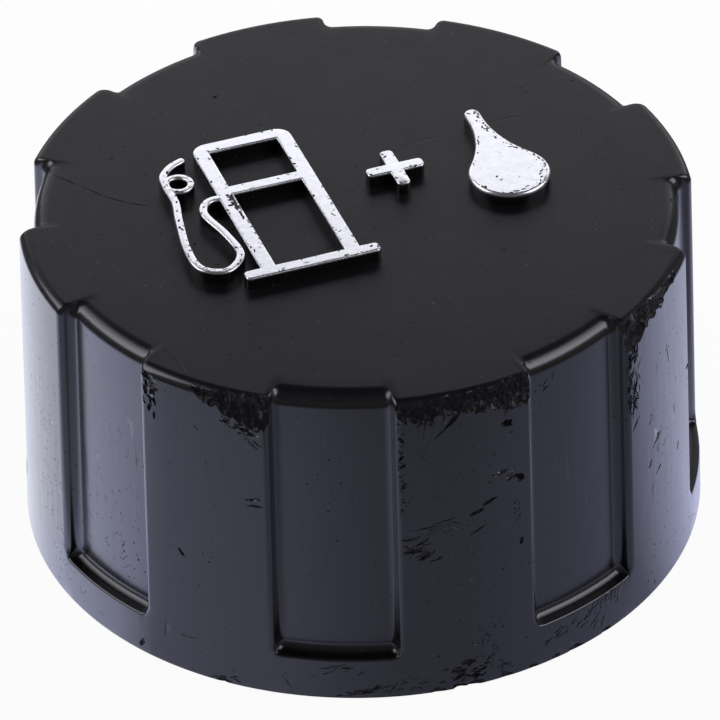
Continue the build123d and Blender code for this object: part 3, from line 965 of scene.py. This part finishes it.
def drop_flat():
    """A round drop whose hollow flanks run up to a narrow neck: a circle moved out onto that outline."""
    flank_x = drop_neck + drop_flank_radius
    flank_y = math.sqrt((drop_radius + drop_flank_radius) ** 2 - flank_x**2)
    tip = drop_tip - drop_middle[1] - drop_neck
    lean = math.degrees(math.atan2(flank_y, flank_x))
    belly = arc((0, 0), drop_radius, lean, -180 - lean, 40)
    left = arc((-flank_x, flank_y), drop_flank_radius, -lean, 0, 14)
    top = arc((0, tip), drop_neck, 180, 0, 12)
    right = [(-x, y) for x, y in reversed(left)]
    outline = belly + left[1:] + top + right[:-1]
    bm = bmesh.new()
    bmesh.ops.create_circle(bm, cap_ends=True, radius=1.0, segments=len(outline))
    around = sorted(bm.verts, key=lambda v: -math.atan2(v.co.y, v.co.x))
    for vertex, (x, y) in zip(around, outline):
        vertex.co = Vector((x + drop_middle[0], y + drop_middle[1], 0))
    return bm


def raised(flat, bottom, top, grow, edge_round):
    """Thicken a flat shape upwards, grown by a little, with its top edges rounded."""
    bmesh.ops.remove_doubles(flat, verts=flat.verts, dist=1e-5)
    if grow:
        bmesh.ops.inset_region(flat, faces=list(flat.faces), thickness=grow, use_boundary=True,
                               use_even_offset=True, use_outset=True)
    bmesh.ops.translate(flat, vec=(0, 0, bottom), verts=flat.verts)
    made = bmesh.ops.extrude_face_region(flat, geom=list(flat.faces))["geom"]
    lifted = [item for item in made if isinstance(item, bmesh.types.BMVert)]
    bmesh.ops.translate(flat, vec=(0, 0, top - bottom), verts=lifted)
    bmesh.ops.recalc_face_normals(flat, faces=flat.faces)
    rims = []
    for edge in flat.edges:
        at_top = all(v.co.z > top - 1e-4 for v in edge.verts)
        if at_top and edge.calc_face_angle(0.0) > rad(60):
            rims.append(edge)
    bmesh.ops.bevel(flat, geom=rims, offset=edge_round, segments=3, profile=0.5, affect="EDGES", material=-1,
                    clamp_overlap=True)
    bmesh.ops.rotate(flat, cent=(0, 0, 0), matrix=Matrix.Rotation(rad(sign_turn), 3, "Z"), verts=flat.verts)
    return closed_up(flat, 1e-5)


def pump_flats():
    base_middle = (pump_middle, base_bar_bottom + crossbar_stroke / 2)
    base = rounded_flat(base_bar_length, crossbar_stroke, base_middle, bar_end_round)
    return [pump_frame(), base, hose_ribbon(), disc(hose_route[-1], hose_stroke / 2), nozzle_ring()]


def plus_flats():
    level = rounded_flat(plus_span, plus_stroke, plus_middle, bar_end_round)
    upright = rounded_flat(plus_stroke, plus_span, plus_middle, bar_end_round)
    return [level, upright]


def drop_flats():
    return [drop_flat()]


def sign_solid(flats, bottom, top, grow, edge_round):
    whole = None
    for flat in flats:
        part = raised(flat, bottom, top, grow, edge_round)
        whole = part if whole is None else combined(whole, part, "UNION")
    return whole


# The flat shapes of each sign, where its foil is lost, its edge's round, and its flakes' spacing, reach,
# size and one-sidedness
signs = {
    "fuel_pump": (pump_flats, pump_losses, 0.2, 1.5, 0.14, 0.24, 0.8),
    "plus": (plus_flats, plus_losses, 0.2, 1.2, 0.1, 0.24, 0.8),
    "oil_drop": (drop_flats, drop_losses, 0.36, 1.2, 0.16, 0.26, 10.0),
}


# ---------------------------------------------------------------- pieces


def worn_shell():
    shell = combined(grip_body(), thread_ridge(), "UNION")
    for flats, losses, edge_round, *_ in signs.values():
        relief = sign_solid(flats(), cap_height - 0.3, sign_top, 0.0, edge_round)
        shell = combined(shell, relief, "UNION")
    for number, points in enumerate(broken_edges):
        cutter = edge_break(points, number + 1)
        for face in cutter.faces:
            face.material_index = 1
        shell = combined(shell, cutter, "DIFFERENCE")
    shell = carved(shell, wear_cutters())
    return finished(shell, "worn_cap_shell", [black, torn], "cap", ["cap_shell"])


def outline_chips(layer, draw, spacing, reach, size, worn_side):
    """Small flakes along the foil's outline, set in from it by up to the reach, most on the worn side."""
    rims = [edge for edge in layer.edges
            if all(v.co.z > foil_top - 1e-3 for v in edge.verts) and edge.calc_face_angle(0.0) > rad(8)]
    stones = []
    for edge in rims:
        a, b = (v.co for v in edge.verts)
        run = edge.calc_length()
        turn = math.degrees(math.atan2(b.y - a.y, b.x - a.x))
        inward = next(f for f in edge.link_faces if f.normal.z > 0.99 or f is edge.link_faces[-1])
        towards = inward.calc_center_median() - (a + b) / 2
        towards.z = 0
        normal = Vector((a.y - b.y, b.x - a.x, 0)).normalized()
        if normal.dot(towards) < 0:
            normal = -normal
        wear = 1 + worn_side * max(0.0, -normal.dot(Vector((0.8, -0.6, 0))))
        for _ in range(int(run * wear / spacing + draw.random())):
            spot = a.lerp(b, draw.random()) + normal * (draw.random() ** 2 * reach * wear**0.5 - 0.03)
            wide = size * draw.uniform(0.3, 1.0) ** 1.5
            place = on_top(spot.x, spot.y, foil_top, turn + draw.gauss(0, 25))
            stones.append(stone(wide * draw.uniform(1.0, 2.6), wide, 0.14, place, draw.uniform(0, 50), 1))
    return stones


def foil_flakes(losses, draw):
    """Each place where foil is lost, as one flake or, where it is long, as a string of them."""
    stones = []
    for x, y, length, turn, width in losses:
        count = max(1, round(length * width * 14))
        for number in range(count):
            along = 0.0 if count == 1 else mixed(-0.5, 0.5, (number + 0.5) / count) * length
            across = draw.gauss(0, width * 0.22) if count > 1 else 0.0
            a = rad(turn)
            spot = Vector((x + along * math.cos(a) - across * math.sin(a),
                           y + along * math.sin(a) + across * math.cos(a)))
            size = length if count == 1 else draw.uniform(0.25, 0.5)
            wide = width if count == 1 else width * draw.uniform(0.4, 0.8)
            place = on_top(spot.x, spot.y, foil_top, turn + draw.gauss(0, 12))
            stones.append(stone(size, wide, 0.14, place, draw.uniform(0, 50), 1))
    return stones


def sign_foils():
    draw = random.Random(5)
    for name, (flats, losses, edge_round, *flaking) in signs.items():
        wrap = edge_round * foil_wrap
        layer = sign_solid(flats(), foil_top - wrap, foil_top, foil_overhang, wrap * 0.94)
        flakes = foil_flakes(losses, draw) + outline_chips(layer, draw, *flaking)
        layer = carved(layer, flakes, (foil, foil))
        finished(layer, name + "_stamping", [foil, foil], "cap", [name + "_foil"])


def closing_spring():
    """A helix of round wire with its end turns closed."""
    bm = bmesh.new()
    made = bmesh.ops.create_circle(bm, cap_ends=True, radius=spring_wire / 2, segments=12,
                                   matrix=Matrix.Rotation(rad(90), 4, "X"))
    start = Vector((spring_diameter / 2 - spring_wire / 2, 0, deck_top + spring_wire / 2))
    bmesh.ops.translate(bm, vec=start, verts=made["verts"])
    per_turn = 40
    rise = spring_height - spring_wire - 2 * spring_end_turns * spring_wire
    middle_turns = spring_turns - 2 * spring_end_turns
    end = list(bm.faces)
    for turns, climb in ((spring_end_turns, spring_end_turns * spring_wire), (middle_turns, rise),
                         (spring_end_turns, spring_end_turns * spring_wire)):
        steps = int(per_turn * turns)
        region = end + list({e for f in end for e in f.edges}) + list({v for f in end for v in f.verts})
        spun = bmesh.ops.spin(bm, geom=region, cent=(0, 0, 0), axis=(0, 0, 1), dvec=(0, 0, climb / steps),
                              angle=rad(360 * turns), steps=steps)["geom_last"]
        end = [item for item in spun if isinstance(item, bmesh.types.BMFace)]
    inner = [face for face in bm.faces if len(face.verts) > 4]
    middle_caps = [face for face in inner if all(len(edge.link_faces) > 2 for edge in face.edges)]
    bmesh.ops.delete(bm, geom=middle_caps, context="FACES_ONLY")
    closed_up(bm)
    piece = finished(bm, "closing_spring", [wire], "cap", ["valve_spring"])
    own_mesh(piece)


def finish_inner_nodes():
    """The inner nodes keep their CAD shapes and get their own finishes."""
    finishes = {"sealing_gasket": rubber, "vent_deck": acetal, "valve_poppet": acetal, "valve_seal": rubber,
                "spring_retainer": wire, "breather_foam": foam, "splash_baffle": acetal}
    for node, finish in finishes.items():
        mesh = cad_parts[node].data
        mesh.materials.clear()
        mesh.materials.append(finish)


# ---------------------------------------------------------------- camera, room and light


def place_camera():
    away = Vector((math.cos(rad(camera_elevation)) * math.cos(rad(camera_azimuth)),
                   math.cos(rad(camera_elevation)) * math.sin(rad(camera_azimuth)),
                   math.sin(rad(camera_elevation))))
    level = (-away).cross(Vector((0, 0, 1))).normalized()
    upright = level.cross(-away)
    turn = rad(camera_roll)
    right = level * math.cos(turn) + upright * math.sin(turn)
    up = upright * math.cos(turn) - level * math.sin(turn)
    spot = (Vector(camera_target) + away * camera_distance) * MM
    data = bpy.data.cameras.new("camera")
    data.lens = camera_lens
    data.sensor_width = sensor_width
    data.clip_start = 0.01
    camera = bpy.data.objects.new("camera", data)
    camera.matrix_world = Matrix((
        (right.x, up.x, away.x, spot.x),
        (right.y, up.y, away.y, spot.y),
        (right.z, up.z, away.z, spot.z),
        (0, 0, 0, 1),
    ))
    bpy.context.scene.collection.objects.link(camera)
    bpy.context.scene.camera = camera


def lay_floor():
    """White paper to the camera. To reflections it glows with painted reflection tones, dimmer and bluer towards
    the front and dim far off. Clear from below.
    """
    made, g = material("pale_floor_painted_reflections")
    rays = g.node("ShaderNodeLightPath").socket.node.outputs
    camera_ray, glossy, through = (Signal(g, rays[kind]) for kind in (
        "Is Camera Ray", "Is Glossy Ray", "Is Transmission Ray"))
    direct = camera_ray.maths("MAXIMUM", camera_ray, glossy)
    direct = direct.maths("MAXIMUM", direct, through)
    position = g.object_position()
    far_reflection_fade = g.step(g.node("ShaderNodeVectorMath", {"operation": "LENGTH"}, {0: position}, output="Value"),
                     floor_near * MM, floor_far * MM)
    x = g.node("ShaderNodeSeparateXYZ", None, {0: position}, output=0) - painted_reflection_middle[0] * MM
    y = g.node("ShaderNodeSeparateXYZ", None, {0: position}, output=1) - painted_reflection_middle[1] * MM
    around = y.maths("ARCTAN2", y, x) * (0.5 / math.pi) + 0.5
    # Painted reflection: reflections see these tones by angle, and dim grey far off, where the camera sees plain
    # white.
    stops = [((angle + 180) / 360, (tone, tone * 1.03, tone * blue, 1.0)) for angle, tone, blue in painted_reflection_tones]
    side = g.node("ShaderNodeValToRGB", {"stops": stops}, {0: around})
    side = g.blend(far_reflection_fade, side, grey(0.05))
    white_or_painted_reflection = g.blend(camera_ray, side, grey(1.0))
    paper = g.node("ShaderNodeBsdfDiffuse", None, {"Color": grey(0.9)})
    white = g.node("ShaderNodeEmission", None, {"Color": white_or_painted_reflection, "Strength": 1.0})
    sheet = g.node("ShaderNodeMixShader", None, {0: direct * 0.95, 1: paper, 2: white})
    from_below = g.node("ShaderNodeNewGeometry", output="Backfacing")
    clear = g.node("ShaderNodeBsdfTransparent")
    g.surface(g.node("ShaderNodeMixShader", None, {0: from_below, 1: sheet, 2: clear}))
    bm = bmesh.new()
    bmesh.ops.create_grid(bm, x_segments=4, y_segments=4, size=floor_size / 2)
    bmesh.ops.translate(bm, vec=(0, 0, -floor_gap * MM), verts=bm.verts)
    floor = as_object(bm, "floor", [made])


def light_room():
    scene = bpy.context.scene
    world = bpy.data.worlds.new("room")
    scene.world = world
    world.use_nodes = True
    g = Graph(world.node_tree)
    rays = g.node("ShaderNodeLightPath").socket.node.outputs
    camera_ray = Signal(g, rays["Is Camera Ray"])
    direction = g.node("ShaderNodeTexCoord", output="Generated")
    height = g.node("ShaderNodeSeparateXYZ", None, {0: direction}, output=2)
    room = g.node("ShaderNodeValToRGB", {"stops": [
        (0.0, grey(0.12)), (0.3, grey(0.07, 1.15)), (1.0, grey(0.05, 1.15))]}, {0: height})
    colour = g.blend(camera_ray, room, grey(1.0))
    background = g.node("ShaderNodeBackground", None, {"Color": colour, "Strength": 1.0})
    g.node("ShaderNodeOutputWorld", None, {"Surface": background})
    for name, (azimuth, elevation, width, tall, distance, brightness) in softboxes.items():
        data = bpy.data.lights.new(name, "AREA")
        data.shape = "RECTANGLE"
        data.size = width * MM
        data.size_y = tall * MM
        data.energy = brightness * math.pi * data.size * data.size_y
        data.color = (0.93, 0.93, 1.0)
        lamp = bpy.data.objects.new(name, data)
        spot = polar(distance * math.cos(rad(elevation)), azimuth, distance * math.sin(rad(elevation))) * MM
        lamp.location = spot
        lamp.rotation_euler = spot.to_track_quat("Z", "Y").to_euler()
        scene.collection.objects.link(lamp)
    scene.view_settings.view_transform = "Standard"


place_camera()
lay_floor()
light_room()
finish_inner_nodes()
worn_shell()
sign_foils()
closing_spring()
